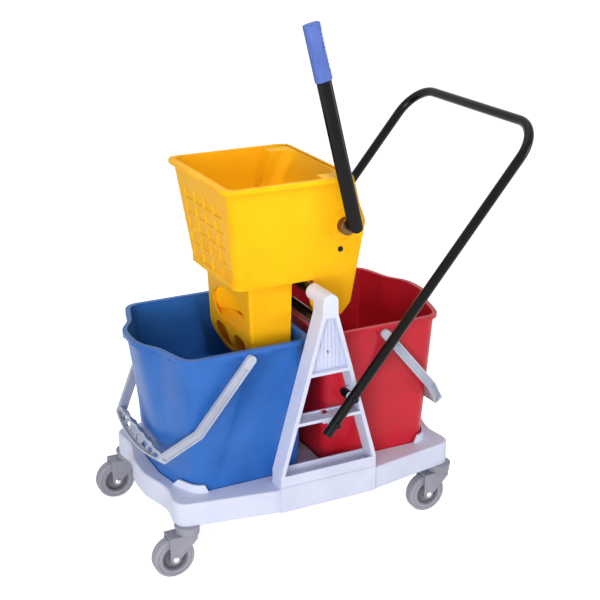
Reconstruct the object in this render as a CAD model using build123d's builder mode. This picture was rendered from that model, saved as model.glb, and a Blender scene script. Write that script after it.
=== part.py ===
from build123d import *
import os
from math import acos, atan2, cos, degrees, pi, radians, sin, sqrt, tan

os.makedirs("parts", exist_ok=True)

# Two-bucket mopping trolley with a down-press wringer, in millimetres.
# +X runs from the blue bucket (-X) to the red bucket (+X), and the press lever is
# on the -Y side.

# Clearances
play = 0.05          # radial play of pins, shafts and tubes in their bores
face_gap = 0.3       # running gap beside a moving face

# Tray
tray_bottom_z = 94.4
tray_top_z = 137.5
tray_wall = 4.0
tray_half_x = 291.0
tray_side_y = 196.7
tray_corner_y = 169.2
pad_half_x = 95.6
pad_half_y = 200.0
pad_depth = 40.0
pad_top_z = 143.0
well_gap = 3.5
well_floor_z = 116.0
guide_height = 15.5
guide_thick = 4.0
guide_gap = 1.2

# Casters
stem_x = 258.8
stem_y = 157.8
stem_r = 6.0
caster_boss_r = 23.0
collar_r = 21.5
collar_bottom_z = 80.0
wheel_r = 37.5
wheel_width = 22.0
caster_trail = 28.7
fork_inner_y = 13.0
fork_plate = 3.0
axle_r = 3.0
hub_r = 24.0

# A-frames
frame_inner_y = 163.0
frame_outer_y = 200.0
foot_top_z = 166.0
leg_thick = 8.0
head_half_x = 15.0
neck_z = 455.0
boss_end_y = 133.0
tube_r = 9.5
upper_tube_z = 476.9
lower_tube_z = 429.0

# Push handle
handle_r = 9.0
handle_wall = 1.6
handle_end_x = -10.0
handle_end_z = 235.0
handle_bar_x = 410.7
handle_bar_z = 742.0
handle_bend_r = 65.0
bolt_r = 3.0
lower_bolt_x = 5.0
upper_bolt_x = 40.0

# Buckets
bucket_wall = 3.0
bucket_corner_r = 25.0
bucket_corner_turn = 66.0
rim_out = 6.0
rim_thick = 3.0
rim_lip = 11.0
rim_lip_thick = 2.5
bail_pivot_x = 133.0
bail_pivot_z = 382.0

# Wringer
shaft_x = 64.0
shaft_z = 587.0
shaft_r = 9.0
hopper_floor_z = 486.7
hopper_top_z = 676.0
hopper_wall = 4.0
hopper_floor_y = 106.0
hopper_top_y = 133.0
basket_half_y = 98.0
basket_bottom_z = 285.0
boss_face_y = 124.0
boss_inner_y = 111.5
bush_r = 13.0
stop_screw_x = 62.4
stop_screw_z = 540.0
stop_screw_r = 2.5
rim_height = 8.0
hopper_rim_out = 5.0
rim_flare = 5.0
tile_pitch_y = 43.0
tile_pitch_z = 29.0
tile_rib = 8.0
tile_depth = 2.4
tile_draft = 25.0
gear_module = 3.0
gear_teeth = 20
press_travel = 34.0


# The origin lies on the floor at the middle of the whole trolley, from the left
# wheels to the push handle's bar. The pieces are drawn about the cross tubes, and
# moved by this much along X when they are written.
middle_x = (handle_bar_x + handle_r - stem_x - caster_trail - wheel_r) / 2
pieces = []


def signs():
    """The four corners of the trolley as pairs of signs."""
    return [(x, y) for x in (-1, 1) for y in (-1, 1)]


# ---------------------------------------------------------------- bucket plan
# One bucket tapers from its rim to its floor. Each level gives the height, the
# inner end, half the width, where the outer corner starts, and the pouring end
# at the shoulder, neck, cheek and nose.
shoulder_y = 98.0
neck_y = 72.0
cheek_y = 45.0
bucket_floor = (well_floor_z, 25.0, 136.0, 211.0, 246.0, 253.0, 259.0, 260.0)
bucket_middle = (250.0, 20.5, 142.0, 219.0, 252.5, 259.5, 269.0, 273.0)
bucket_top = (396.7, 16.5, 149.0, 227.0, 261.0, 269.0, 286.0, 294.0)
bucket_levels = (bucket_floor, bucket_middle, bucket_top)
bucket_top_z = bucket_top[0]


def bucket_plan(level, inset):
    """Draw the closed plan of the +X bucket at a level, moved inwards by inset."""
    height, inner_x, half_y, corner_x, shoulder_x, neck_x, cheek_x, nose_x = level
    radius = bucket_corner_r - inset
    side_y = half_y - inset
    inner_end = Line((inner_x + inset, 0), (inner_x + inset, radius - side_y))
    inner_corner = JernArc(inner_end @ 1, (0, -1), radius, 90)
    side = Line(inner_corner @ 1, (corner_x, -side_y))
    outer_corner = JernArc(side @ 1, (1, 0), radius, bucket_corner_turn)
    Spline(
        outer_corner @ 1,
        (shoulder_x - inset, -shoulder_y),
        (neck_x - inset, -neck_y),
        (cheek_x - inset, -cheek_y),
        (nose_x - inset, 0),
        tangents=(outer_corner % 1, (0, 1)),
    )
    mirror(about=Plane.XZ)


# ---------------------------------------------------------------------- tray
def tray_plan(inset):
    """Draw the closed plan of the tray, moved inwards by inset."""
    pad_edge = Line((0, inset - pad_half_y), (pad_half_x - inset, inset - pad_half_y))
    step = Line(pad_edge @ 1, (pad_half_x - inset, inset - tray_side_y))
    side = Line(step @ 1, (tray_half_x - 32 - inset, inset - tray_corner_y))
    corner_end = (tray_half_x - 13 - inset, inset - tray_corner_y + 19)
    corner = TangentArc(side @ 1, corner_end, tangent=side % 1)
    Spline(
        corner @ 1,
        (tray_half_x - 17.5 - inset, -108),
        (tray_half_x - 4.5 - inset, -46),
        (tray_half_x - inset, 0),
        tangents=(corner % 1, (0, 1)),
    )
    mirror(about=Plane.XZ)
    mirror(about=Plane.YZ)


# The hollow under the deck: all but the wells, the caster bosses and the ribs.
deck_thick = 4.0
with BuildPart() as tray_hollow:
    with BuildSketch(Plane.XY.offset(tray_bottom_z)):
        with BuildLine():
            tray_plan(tray_wall)
        make_face()
    extrude(amount=tray_top_z - deck_thick - tray_bottom_z)
    with BuildSketch(Plane.XY.offset(well_floor_z - tray_wall)) as well_blocks:
        with BuildLine():
            bucket_plan(bucket_floor, -well_gap - tray_wall)
        make_face()
        mirror(about=Plane.YZ)
    extrude(amount=tray_top_z, mode=Mode.SUBTRACT)
    with BuildSketch(Plane.XY.offset(tray_bottom_z)):
        with Locations([(sx * stem_x, sy * stem_y) for sx, sy in signs()]):
            Circle(caster_boss_r)
        with GridLocations(120, 2 * (pad_half_y - pad_depth / 2), 2, 2):
            Rectangle(3, pad_depth + 8)
        with GridLocations(2 * 185, 0, 2, 1):
            Rectangle(3, 2 * tray_side_y)
    extrude(amount=tray_top_z, mode=Mode.SUBTRACT)

frame_screw_x = 70.0
frame_screw_y = (frame_inner_y + frame_outer_y) / 2
frame_screw_r = 2.5
frame_screw_places = [(sx * frame_screw_x, sy * frame_screw_y) for sx, sy in signs()]

with BuildPart() as base_tray:
    with BuildSketch(Plane.XY.offset(tray_bottom_z)):
        with BuildLine():
            tray_plan(0)
        make_face()
    extrude(amount=tray_top_z - tray_bottom_z)
    fillet(base_tray.faces().sort_by(Axis.Z)[-1].edges(), 3.5)
    add(tray_hollow.part, mode=Mode.SUBTRACT)
    with BuildSketch(Plane.XY.offset(tray_top_z - deck_thick)):
        with GridLocations(0, 2 * (pad_half_y - pad_depth / 2), 1, 2):
            Rectangle(2 * pad_half_x, pad_depth)
    extrude(amount=pad_top_z - tray_top_z + deck_thick)
    with BuildSketch(Plane.XY.offset(well_floor_z)):
        with BuildLine():
            bucket_plan(bucket_floor, -well_gap)
        make_face()
        mirror(about=Plane.YZ)
    extrude(amount=tray_top_z, mode=Mode.SUBTRACT)
    with BuildSketch(Plane.XY.offset(tray_bottom_z)):
        with Locations([(sx * stem_x, sy * stem_y) for sx, sy in signs()]):
            Circle(stem_r + play)
    extrude(amount=36, mode=Mode.SUBTRACT)
    with BuildSketch(Plane.XY.offset(tray_bottom_z)):
        with Locations(frame_screw_places):
            Circle(frame_screw_r + play)
    extrude(amount=pad_top_z, mode=Mode.SUBTRACT)

# Raised corner guides hug the outer corners of the two buckets on the deck.
guide_gap_level = (
    bucket_floor[0],
    bucket_floor[1],
    bucket_floor[2] + 1.7,
    bucket_floor[3] + 2,
    bucket_floor[4] + 2,
    bucket_floor[5] + 2,
    bucket_floor[6] + 4,
    bucket_floor[7] + 5,
)
with BuildPart() as corner_guides:
    with BuildSketch(Plane.XY.offset(tray_top_z)):
        with BuildLine():
            bucket_plan(guide_gap_level, -well_gap - guide_thick)
        make_face()
        with BuildLine():
            bucket_plan(guide_gap_level, -well_gap)
        make_face(mode=Mode.SUBTRACT)
    extrude(amount=guide_height)
    with BuildSketch(Plane.XY.offset(tray_top_z)):
        with Locations((258, -139)):
            Rectangle(2 * 47, 2 * 50)
    with BuildSketch(Plane.XY.offset(tray_top_z + guide_height)):
        with Locations((258, -139)):
            Rectangle(2 * 40, 2 * 35)
    loft(mode=Mode.INTERSECT)
    mirror(about=Plane.XZ)
    mirror(about=Plane.YZ)
with base_tray:
    add(corner_guides.part)
base_tray.part.label = "base_tray"
pieces.append(base_tray.part)

# Four screws come up through the tray into the feet of the A-frames.
with BuildPart() as frame_screws:
    with BuildSketch(Plane.XY.offset(pad_top_z - deck_thick - 8.5)):
        with Locations(frame_screw_places):
            Circle(2 * frame_screw_r)
    extrude(amount=3)
    with BuildSketch(Plane.XY.offset(pad_top_z - deck_thick - 5.5)):
        with Locations(frame_screw_places):
            Circle(frame_screw_r)
    extrude(amount=22)
frame_screws.part.label = "frame_screws"
pieces.append(frame_screws.part)

# ------------------------------------------------------------------- A-frames
leg_slope = (pad_half_x - head_half_x) / (neck_z - foot_top_z)


def leg_x(height):
    """Outer half width of an A-frame's tapering legs at a height."""
    return pad_half_x - leg_slope * (height - foot_top_z)


def bay(bottom, top, inset, mode=Mode.ADD):
    """Draw the space between the legs from one height to another."""
    Polygon(
        (inset - leg_x(bottom), bottom),
        (leg_x(bottom) - inset, bottom),
        (leg_x(top) - inset, top),
        (inset - leg_x(top), top),
        align=None,
        mode=mode,
    )


rail_top_z = 164.5
shelf_thick = 6.0
low_shelf_z = 256.0
high_shelf_z = 345.0
panel_top_z = 449.0
panel_recess = 12.0
panel_thick = 5.0
panel_hole_r = 3.0
panel_hole_z = 383.0
flute_pitch = 8.0
flute_depth = 2.0
handle_slope = (handle_bar_z - handle_end_z) / (handle_bar_x - handle_end_x)
lower_bolt_z = handle_end_z + handle_slope * (lower_bolt_x - handle_end_x)
upper_bolt_z = handle_end_z + handle_slope * (upper_bolt_x - handle_end_x)
bolt_places = [(lower_bolt_x, lower_bolt_z), (upper_bolt_x, upper_bolt_z)]
lug_depth = 20.0
nut_r = 7.0

front_plane = Plane.XZ.offset(frame_outer_y)
panel_plane = Plane.XZ.offset(frame_outer_y - panel_recess)
inner_plane = Plane.XZ.offset(frame_inner_y)
frame_depth = frame_outer_y - frame_inner_y

with BuildPart() as a_frame_front:
    with BuildSketch(front_plane):
        with BuildLine():
            Polyline(
                (-head_half_x, upper_tube_z),
                (-head_half_x, neck_z),
                (-pad_half_x, foot_top_z),
                (-pad_half_x, pad_top_z),
                (pad_half_x, pad_top_z),
                (pad_half_x, foot_top_z),
                (head_half_x, neck_z),
                (head_half_x, upper_tube_z),
            )
            ThreePointArc(
                (head_half_x, upper_tube_z),
                (0, upper_tube_z + head_half_x),
                (-head_half_x, upper_tube_z),
            )
        make_face()
    extrude(amount=-frame_depth)
    fillet(a_frame_front.faces().sort_by(Axis.Y)[0].edges(), 1.5)
    # The two open windows.
    with BuildSketch(front_plane):
        bay(rail_top_z, low_shelf_z, leg_thick)
        bay(low_shelf_z + shelf_thick, high_shelf_z, leg_thick)
    extrude(amount=-frame_depth, mode=Mode.SUBTRACT)
    # The bottom rail and the lower shelf are troughs that open upwards.
    with BuildSketch(front_plane.offset(-3)):
        bay(pad_top_z + 7, rail_top_z, leg_thick + 2)
        bay(low_shelf_z + 3, low_shelf_z + shelf_thick, leg_thick)
    extrude(amount=6 - frame_depth, mode=Mode.SUBTRACT)
    # The fluted panel is sunk in the front, and open behind.
    with BuildSketch(front_plane):
        bay(high_shelf_z + shelf_thick, panel_top_z, leg_thick)
    extrude(amount=-panel_recess, mode=Mode.SUBTRACT)
    with BuildSketch(inner_plane):
        bay(high_shelf_z + shelf_thick, panel_top_z, leg_thick)
    extrude(amount=frame_depth - panel_recess - panel_thick, mode=Mode.SUBTRACT)
    with BuildSketch(panel_plane):
        with Locations((0, (high_shelf_z + panel_top_z) / 2)):
            with GridLocations(flute_pitch, 1, 6, 1):
                Rectangle(flute_pitch / 2, panel_top_z - high_shelf_z)
        bay(high_shelf_z + shelf_thick + 2, panel_top_z - 2, leg_thick + 1, Mode.INTERSECT)
    extrude(amount=flute_depth)
    # Sockets for the two cross tubes, the bolt lump under the lower shelf and
    # the lug on the inside of the right leg.
    with BuildSketch(Plane.XZ.offset(boss_end_y)):
        with Locations((0, upper_tube_z)):
            Circle(head_half_x - 0.5)
    extrude(amount=frame_outer_y - boss_end_y - 5)
    with BuildSketch(inner_plane):
        with Locations((0, lower_tube_z)):
            Circle(tube_r + 4)
    extrude(amount=frame_depth - panel_recess - panel_thick / 2)
    with BuildSketch(front_plane):
        with Locations(*bolt_places):
            Circle(9)
        with Locations((lower_bolt_x, (lower_bolt_z + low_shelf_z) / 2 + 2)):
            Rectangle(36, low_shelf_z - lower_bolt_z + 6)
        with BuildLine():
            Polyline(
                (upper_bolt_x, upper_bolt_z + 9),
                (upper_bolt_x, upper_bolt_z - 9),
                (leg_x(upper_bolt_z - 12) - 4, upper_bolt_z - 12),
                (leg_x(upper_bolt_z + 12) - 4, upper_bolt_z + 12),
                close=True,
            )
        make_face()
    extrude(amount=-lug_depth)
    # Bores.
    with BuildSketch(Plane.XZ.offset(boss_end_y)):
        with Locations((0, upper_tube_z)):
            Circle(tube_r + play)
    extrude(amount=frame_outer_y - boss_end_y - 8, mode=Mode.SUBTRACT)
    with BuildSketch(inner_plane):
        with Locations((0, lower_tube_z)):
            Circle(tube_r + play)
    extrude(amount=frame_depth - panel_recess - panel_thick, mode=Mode.SUBTRACT)
    with BuildSketch(front_plane):
        with Locations(*bolt_places):
            Circle(bolt_r + play)
    extrude(amount=-frame_depth, mode=Mode.SUBTRACT)
    with BuildSketch(Plane.XZ.offset(frame_outer_y - lug_depth)):
        with Locations(*bolt_places):
            Circle(nut_r + 1)
    extrude(amount=-frame_depth, mode=Mode.SUBTRACT)
    with BuildSketch(panel_plane.offset(flute_depth)):
        with Locations((0, panel_hole_z)):
            Circle(panel_hole_r)
    extrude(amount=-flute_depth - panel_thick, mode=Mode.SUBTRACT)
    with BuildSketch(Plane.XY.offset(pad_top_z)):
        with Locations([(-frame_screw_x, -frame_screw_y), (frame_screw_x, -frame_screw_y)]):
            Circle(frame_screw_r + play)
    extrude(amount=14, mode=Mode.SUBTRACT)
a_frame_front.part.label = "a_frame_front"
pieces.append(a_frame_front.part)

with BuildPart() as a_frame_rear:
    mirror(a_frame_front.part, about=Plane.XZ)
a_frame_rear.part.label = "a_frame_rear"
pieces.append(a_frame_rear.part)

with BuildPart() as cross_tube_upper:
    with BuildSketch(Plane.XZ):
        with Locations((0, upper_tube_z)):
            Circle(tube_r)
            Circle(tube_r - handle_wall, mode=Mode.SUBTRACT)
    extrude(amount=frame_outer_y - 8.5, both=True)
cross_tube_upper.part.label = "cross_tube_upper"
pieces.append(cross_tube_upper.part)

with BuildPart() as cross_tube_lower:
    with BuildSketch(Plane.XZ):
        with Locations((0, lower_tube_z)):
            Circle(tube_r)
            Circle(tube_r - handle_wall, mode=Mode.SUBTRACT)
    extrude(amount=frame_outer_y - panel_recess - panel_thick - 0.5, both=True)
cross_tube_lower.part.label = "cross_tube_lower"
pieces.append(cross_tube_lower.part)

# ---------------------------------------------------------------- push handle
handle_y = frame_outer_y + face_gap + handle_r
handle_angle = degrees(atan2(handle_bar_z - handle_end_z, handle_bar_x - handle_end_x))
handle_end_plane = Plane(
    origin=(handle_end_x, -handle_y, handle_end_z),
    x_dir=(0, 1, 0),
    z_dir=(cos(radians(handle_angle)), 0, sin(radians(handle_angle))),
)
with BuildPart() as push_handle:
    with BuildLine() as handle_path:
        FilletPolyline(
            (handle_end_x, -handle_y, handle_end_z),
            (handle_bar_x, -handle_y, handle_bar_z),
            (handle_bar_x, handle_y, handle_bar_z),
            (handle_end_x, handle_y, handle_end_z),
            radius=handle_bend_r,
        )
    with BuildSketch(handle_end_plane):
        Circle(handle_r)
        Circle(handle_r - handle_wall, mode=Mode.SUBTRACT)
    sweep()
    with BuildSketch(Plane.XZ):
        with Locations(*bolt_places):
            Circle(bolt_r + play)
    extrude(amount=handle_y + 2 * handle_r, both=True, mode=Mode.SUBTRACT)
push_handle.part.label = "push_handle"
pieces.append(push_handle.part)

# A turned plug closes the lower end of each leg.
plug_depth = 12.0
with BuildPart() as handle_end_plugs:
    with BuildSketch(handle_end_plane.offset(-2.5)):
        Circle(handle_r - 0.5)
    extrude(amount=2.5)
    fillet(handle_end_plugs.faces().sort_by(Axis.X)[0].edges(), 1.5)
    with BuildSketch(handle_end_plane):
        Circle(handle_r - handle_wall - play)
    extrude(amount=plug_depth)
    mirror(about=Plane.XZ)
handle_end_plugs.part.label = "handle_end_plugs"
pieces.append(handle_end_plugs.part)

# Bolts pass through the handle's legs and the A-frames into cap nuts.
bolt_head_r = 6.0
bolt_seat_y = frame_outer_y - lug_depth
with BuildPart() as handle_bolts:
    with BuildSketch(Plane.XZ.offset(handle_y + handle_r)):
        with Locations(*bolt_places):
            Circle(bolt_head_r)
    extrude(amount=4)
    fillet(handle_bolts.edges().group_by(Axis.Y)[0], 2.0)
    with BuildSketch(Plane.XZ.offset(handle_y + handle_r)):
        with Locations(*bolt_places):
            Circle(bolt_r)
    extrude(amount=bolt_seat_y - 5 - handle_y - handle_r)
    mirror(about=Plane.XZ)
handle_bolts.part.label = "handle_bolts"
pieces.append(handle_bolts.part)

with BuildPart() as handle_cap_nuts:
    with BuildSketch(Plane.XZ.offset(bolt_seat_y)):
        with Locations(*bolt_places):
            Circle(nut_r)
    extrude(amount=-9)
    fillet(handle_cap_nuts.edges().group_by(Axis.Y)[-1], 3.0)
    with BuildSketch(Plane.XZ.offset(bolt_seat_y)):
        with Locations(*bolt_places):
            Circle(bolt_r + play)
    extrude(amount=-5.5, mode=Mode.SUBTRACT)
    mirror(about=Plane.XZ)
handle_cap_nuts.part.label = "handle_cap_nuts"
pieces.append(handle_cap_nuts.part)

# -------------------------------------------------------------------- casters
with BuildPart() as caster_collars:
    with BuildSketch(Plane.XY.offset(collar_bottom_z)):
        with Locations([(sx * stem_x, sy * stem_y) for sx, sy in signs()]):
            Circle(collar_r)
            Circle(stem_r + play, mode=Mode.SUBTRACT)
    extrude(amount=tray_bottom_z - collar_bottom_z)
    with BuildSketch(Plane.XY.offset(tray_bottom_z - 3)):
        with Locations([(sx * stem_x, sy * stem_y) for sx, sy in signs()]):
            Circle(collar_r + 1.5)
            Circle(stem_r + play, mode=Mode.SUBTRACT)
    extrude(amount=3)
caster_collars.part.label = "caster_collars"
pieces.append(caster_collars.part)

fork_top_z = collar_bottom_z - face_gap
caster_names = {
    (-1, -1): "front_left",
    (1, -1): "front_right",
    (-1, 1): "rear_left",
    (1, 1): "rear_right",
}
for (sx, sy), name in caster_names.items():
    wheel_x = sx * stem_x - caster_trail
    wheel_y = sy * stem_y

    # The fork is one folded plate with its swivel stem riveted on.
    with BuildPart() as fork:
        with BuildSketch(Plane.XZ.offset(-wheel_y)) as cheek:
            with Locations((wheel_x, wheel_r)):
                Circle(9.5)
            with BuildLine():
                Polyline(
                    (wheel_x - 9.5, fork_top_z),
                    (wheel_x - 9.5, wheel_r),
                    (wheel_x + 9.5, wheel_r),
                    (wheel_x + caster_trail + 13, fork_top_z - 10),
                    (wheel_x + caster_trail + 13, fork_top_z),
                    close=True,
                )
            make_face()
        extrude(amount=fork_inner_y + fork_plate, both=True)
        with BuildSketch(Plane.XZ.offset(-wheel_y)):
            with BuildLine():
                Polyline(
                    (wheel_x - 60, 0),
                    (wheel_x + 60, 0),
                    (wheel_x + 60, fork_top_z - fork_plate),
                    (wheel_x - 60, fork_top_z - fork_plate),
                    close=True,
                )
            make_face()
        extrude(amount=fork_inner_y, both=True, mode=Mode.SUBTRACT)
        with BuildSketch(Plane.XZ.offset(-wheel_y)):
            with Locations((wheel_x, wheel_r)):
                Circle(axle_r + play)
        extrude(amount=2 * fork_inner_y, both=True, mode=Mode.SUBTRACT)
        with BuildSketch(Plane.XY.offset(fork_top_z - fork_plate)):
            with Locations((sx * stem_x, wheel_y)):
                Circle(collar_r - 1)
        extrude(amount=fork_plate)
        with BuildSketch(Plane.XY.offset(fork_top_z)):
            with Locations((sx * stem_x, wheel_y)):
                Circle(stem_r)
        extrude(amount=tray_bottom_z + 34 - fork_top_z)
    fork.part.label = "caster_fork_" + name
    pieces.append(fork.part)

    with BuildPart() as axle:
        with BuildSketch(Plane.XZ.offset(-wheel_y)):
            with Locations((wheel_x, wheel_r)):
                Circle(axle_r)
        extrude(amount=fork_inner_y + fork_plate, both=True)
        for side in (-1, 1):
            with BuildSketch(Plane.XZ.offset(side * (fork_inner_y + fork_plate) - wheel_y)):
                with Locations((wheel_x, wheel_r)):
                    RegularPolygon(5.5, 6)
            extrude(amount=side * 4)
    axle.part.label = "caster_axle_" + name
    pieces.append(axle.part)

    wheel_plane = Plane(origin=(wheel_x, wheel_y, wheel_r), x_dir=(1, 0, 0), z_dir=(0, -1, 0))
    with BuildPart() as hub:
        with BuildSketch(wheel_plane):
            Circle(hub_r)
        extrude(amount=wheel_width / 2 - 1, both=True)
        with BuildSketch(wheel_plane.offset(3)):
            Circle(hub_r - 2.5)
            Circle(8, mode=Mode.SUBTRACT)
        extrude(amount=wheel_width, mode=Mode.SUBTRACT)
        with BuildSketch(wheel_plane.offset(-3)):
            Circle(hub_r - 2.5)
            Circle(8, mode=Mode.SUBTRACT)
        extrude(amount=-wheel_width, mode=Mode.SUBTRACT)
        with BuildSketch(wheel_plane):
            Circle(8)
        extrude(amount=fork_inner_y - face_gap, both=True)
        with BuildSketch(wheel_plane):
            with PolarLocations(14.5, 5):
                Circle(3.5)
            Circle(axle_r + play)
        extrude(amount=wheel_width, both=True, mode=Mode.SUBTRACT)
    hub.part.label = "caster_hub_" + name
    pieces.append(hub.part)

    with BuildPart() as tyre:
        with BuildSketch(wheel_plane):
            Circle(wheel_r)
        extrude(amount=wheel_width / 2, both=True)
        fillet(tyre.edges(), 5)
        with BuildSketch(wheel_plane):
            Circle(hub_r)
        extrude(amount=wheel_width, both=True, mode=Mode.SUBTRACT)
    tyre.part.label = "caster_tyre_" + name
    pieces.append(tyre.part)

# -------------------------------------------------------------------- buckets
rim_bottom_z = bucket_top_z - rim_thick
lip_bottom_z = bucket_top_z - rim_lip
bucket_side_y = bucket_top[2]
peg_r = 4.5
peg_depth = 5.0
ear_half_x = 20.0

with BuildPart() as bucket_hollow:
    for level in bucket_levels:
        base_z = level[0] + (bucket_wall if level is bucket_floor else 0)
        with BuildSketch(Plane.XY.offset(base_z)):
            with BuildLine():
                bucket_plan(level, bucket_wall)
            make_face()
    loft(ruled=True)

with BuildPart() as red_bucket:
    for level in bucket_levels:
        with BuildSketch(Plane.XY.offset(level[0])):
            with BuildLine():
                bucket_plan(level, 0)
            make_face()
    loft(ruled=True)
    with BuildSketch(Plane.XY.offset(rim_bottom_z)):
        with BuildLine():
            bucket_plan(bucket_top, -rim_out)
        make_face()
    extrude(amount=rim_thick)
    with BuildSketch(Plane.XY.offset(lip_bottom_z)):
        with BuildLine():
            bucket_plan(bucket_top, -rim_out)
        make_face()
        with BuildLine():
            bucket_plan(bucket_top, rim_lip_thick - rim_out)
        make_face(mode=Mode.SUBTRACT)
    extrude(amount=rim_lip)
    # A gusset ear under the rim on each side carries the bail's peg.
    with BuildSketch(Plane.XZ):
        with BuildLine():
            Polyline(
                (bail_pivot_x - ear_half_x, rim_bottom_z),
                (bail_pivot_x - 5, bail_pivot_z - 13),
                (bail_pivot_x + 5, bail_pivot_z - 13),
                (bail_pivot_x + ear_half_x, rim_bottom_z),
                close=True,
            )
        make_face()
    extrude(amount=bucket_side_y + rim_out, both=True)
    add(bucket_hollow.part, mode=Mode.SUBTRACT)
    with BuildSketch(Plane.XZ):
        with Locations((bail_pivot_x, bail_pivot_z)):
            Circle(peg_r + play)
    extrude(amount=bucket_side_y + rim_out, both=True, mode=Mode.SUBTRACT)
    with BuildSketch(Plane.XZ):
        with Locations((bail_pivot_x, bail_pivot_z)):
            Circle(peg_r + 2)
    extrude(amount=bucket_side_y + rim_out - peg_depth - 1.5, both=True)
    add(bucket_hollow.part, mode=Mode.SUBTRACT)
red_bucket.part.label = "red_bucket"
pieces.append(red_bucket.part)

with BuildPart() as blue_bucket:
    mirror(red_bucket.part, about=Plane.YZ)
blue_bucket.part.label = "blue_bucket"
pieces.append(blue_bucket.part)

# ---------------------------------------------------------------------- bails
# A bail lies in one plane through its two pegs. In that plane the first
# coordinate runs across the trolley and the second one away from the pegs.
bail_lean = 39.8
bail_width = 17.0
bail_strip = 8.5
bail_half_y = bucket_side_y + rim_out + 1.0 + bail_strip
bail_elbow = 158.0
bail_slant = 33.3
bail_slant_length = 97.0
grip_inner = 226.0
grip_bow = 14.0
grip_ridge = 3.0
grip_web = 3.0
groove_width = 11.0
groove_depth = 5.0
finger_pitch = 39.0
finger_depth = 2.5
finger_r = (finger_pitch / 2) ** 2 / (2 * finger_depth)

slant_x = sin(radians(bail_slant))
slant_y = cos(radians(bail_slant))
slant_end = (bail_half_y - bail_slant_length * slant_x, bail_elbow + bail_slant_length * slant_y)
inner_half_y = bail_half_y - bail_strip
inner_elbow = bail_elbow - bail_strip * tan(radians(bail_slant / 2))
inner_end = (slant_end[0] - bail_strip * slant_y, slant_end[1] - bail_strip * slant_x)
grip_bow_top = slant_end[1] + grip_bow
reach = (grip_inner - inner_elbow) / slant_y
grip_corner = (inner_half_y - reach * slant_x, grip_inner)
bail_plane = Plane(
    origin=(bail_pivot_x, 0, bail_pivot_z),
    x_dir=(0, 1, 0),
    z_dir=(-cos(radians(bail_lean)), 0, -sin(radians(bail_lean))),
)


def grip_window(x, half_length, shape):
    """Draw one see-through window of the grip's web."""
    middle = (grip_inner + grip_bow_top - (grip_bow_top - slant_end[1]) * (x / slant_end[0]) ** 2) / 2
    with Locations((x, middle + 1)):
        if shape == "diamond":
            Polygon((-half_length, 0), (0, -6.5), (half_length, 0), (0, 6.5), align=None)
        else:
            Rectangle(2 * half_length, 9)


with BuildPart() as red_bail:
    with BuildSketch(bail_plane):
        with BuildLine():
            Polyline((-slant_end[0], slant_end[1]), (-grip_corner[0], grip_corner[1]), grip_corner, slant_end)
            ThreePointArc(slant_end, (0, grip_bow_top), (-slant_end[0], slant_end[1]))
        make_face()
        with Locations((0, grip_inner + finger_depth - finger_r)):
            with GridLocations(finger_pitch, 1, 5, 1):
                Circle(finger_r, mode=Mode.SUBTRACT)
    extrude(amount=bail_width / 2, both=True)
    # Both faces of the grip are hollowed down to a web between two ridges.
    for face in (-1, 1):
        with BuildSketch(bail_plane.offset(face * grip_web / 2)):
            with BuildLine():
                Polyline(
                    (-slant_end[0] + 4, slant_end[1] - grip_ridge),
                    (-grip_corner[0] + 1, grip_inner + finger_depth + grip_ridge),
                    (grip_corner[0] - 1, grip_inner + finger_depth + grip_ridge),
                    (slant_end[0] - 4, slant_end[1] - grip_ridge),
                )
                ThreePointArc(
                    (slant_end[0] - 4, slant_end[1] - grip_ridge),
                    (0, grip_bow_top - grip_ridge),
                    (4 - slant_end[0], slant_end[1] - grip_ridge),
                )
            make_face()
        extrude(amount=face * bail_width, mode=Mode.SUBTRACT)
    with BuildSketch(bail_plane):
        grip_window(0, 12, "diamond")
        for side in (-1, 1):
            grip_window(side * 30, 11, "rectangle")
            grip_window(side * 58, 11, "diamond")
            grip_window(side * 84, 8, "rectangle")
    extrude(amount=grip_web, both=True, mode=Mode.SUBTRACT)
    # The two arms and slants are channels that open outwards.
    for side in (-1, 1):
        with BuildSketch(bail_plane):
            with BuildLine():
                Polyline(
                    (side * inner_half_y, -bail_width / 2),
                    (side * bail_half_y, -bail_width / 2),
                    (side * bail_half_y, bail_elbow),
                    (side * slant_end[0], slant_end[1]),
                    (side * inner_end[0], inner_end[1]),
                    (side * inner_half_y, inner_elbow),
                    close=True,
                )
            make_face()
        extrude(amount=bail_width / 2, both=True)
        with BuildSketch(bail_plane):
            with BuildLine():
                Polyline(
                    (side * (bail_half_y - groove_depth), bail_width),
                    (side * (bail_half_y + 5), bail_width),
                    (side * (bail_half_y + 5), bail_elbow),
                    (side * (slant_end[0] + 5 + 4 * slant_x), slant_end[1] - 4 * slant_y),
                    (
                        side * (slant_end[0] + 6 * slant_x - groove_depth * slant_y),
                        slant_end[1] - 6 * slant_y - groove_depth * slant_x,
                    ),
                    (side * (bail_half_y - groove_depth), bail_elbow - 1.5),
                    close=True,
                )
            make_face()
        extrude(amount=groove_width / 2, both=True, mode=Mode.SUBTRACT)
    fillet(red_bail.edges().filter_by(Axis.Y).group_by(Axis.Z)[-1], bail_width / 2 - 0.6)
    fillet(red_bail.edges().filter_by(Axis.Y).sort_by(Axis.X)[:2], bail_width / 2 - 0.6)
    with BuildSketch(Plane.XZ):
        with Locations((bail_pivot_x, bail_pivot_z)):
            Circle(peg_r)
    extrude(amount=inner_half_y + 0.5, both=True)
    with BuildSketch(Plane.XZ):
        with Locations((bail_pivot_x, bail_pivot_z)):
            Circle(peg_r + 1)
    extrude(amount=bucket_side_y + rim_out - peg_depth + 0.5, both=True, mode=Mode.SUBTRACT)
red_bail.part.label = "red_bail"
pieces.append(red_bail.part)

with BuildPart() as blue_bail:
    mirror(red_bail.part, about=Plane.YZ)
blue_bail.part.label = "blue_bail"
pieces.append(blue_bail.part)

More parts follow.
